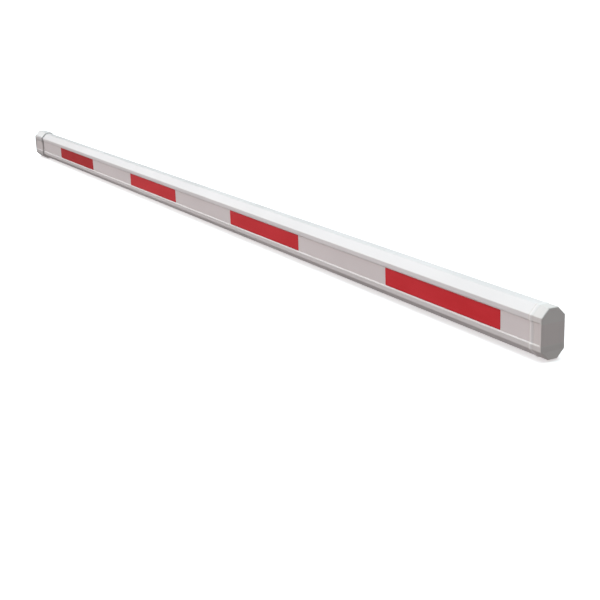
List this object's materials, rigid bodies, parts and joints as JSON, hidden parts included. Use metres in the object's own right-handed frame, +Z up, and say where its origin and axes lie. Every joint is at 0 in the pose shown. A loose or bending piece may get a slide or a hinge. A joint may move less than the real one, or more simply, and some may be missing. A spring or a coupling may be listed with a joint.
{
  "type": "parking barrier boom",
  "caption": "Eight-sided hollow barrier boom with recessed sides, red reflective strips, a flush tip cap with a bead at its joint and a thicker butt sleeve for the drive's clamp.",
  "frame": {"origin": "centre of the butt sleeve's flat end face, on the section's centre line", "axes": "+X along the boom from butt to tip, +Z up across the tall side of the section, Y from side to side with the front at -Y"},
  "size_m": [3, 0.058, 0.098],
  "materials": {
    "white_coated_aluminium": "satin",
    "white_cap_plastic": "satin",
    "red_reflective_film": "satin",
    "bare_aluminium": "satin",
    "rivet_aluminium": "satin"
  },
  "bodies": {
    "root": {"boom_profile": "white_coated_aluminium", "tip_cap": "white_cap_plastic", "butt_sleeve": "white_cap_plastic", "butt_insert": "bare_aluminium", "insert_rivets": "rivet_aluminium", "front_strip_1": "red_reflective_film", "front_strip_2": "red_reflective_film", "front_strip_3": "red_reflective_film", "front_strip_4": "red_reflective_film", "back_strip_1": "red_reflective_film", "back_strip_2": "red_reflective_film", "back_strip_3": "red_reflective_film", "back_strip_4": "red_reflective_film"}
  },
  "joints": []
}
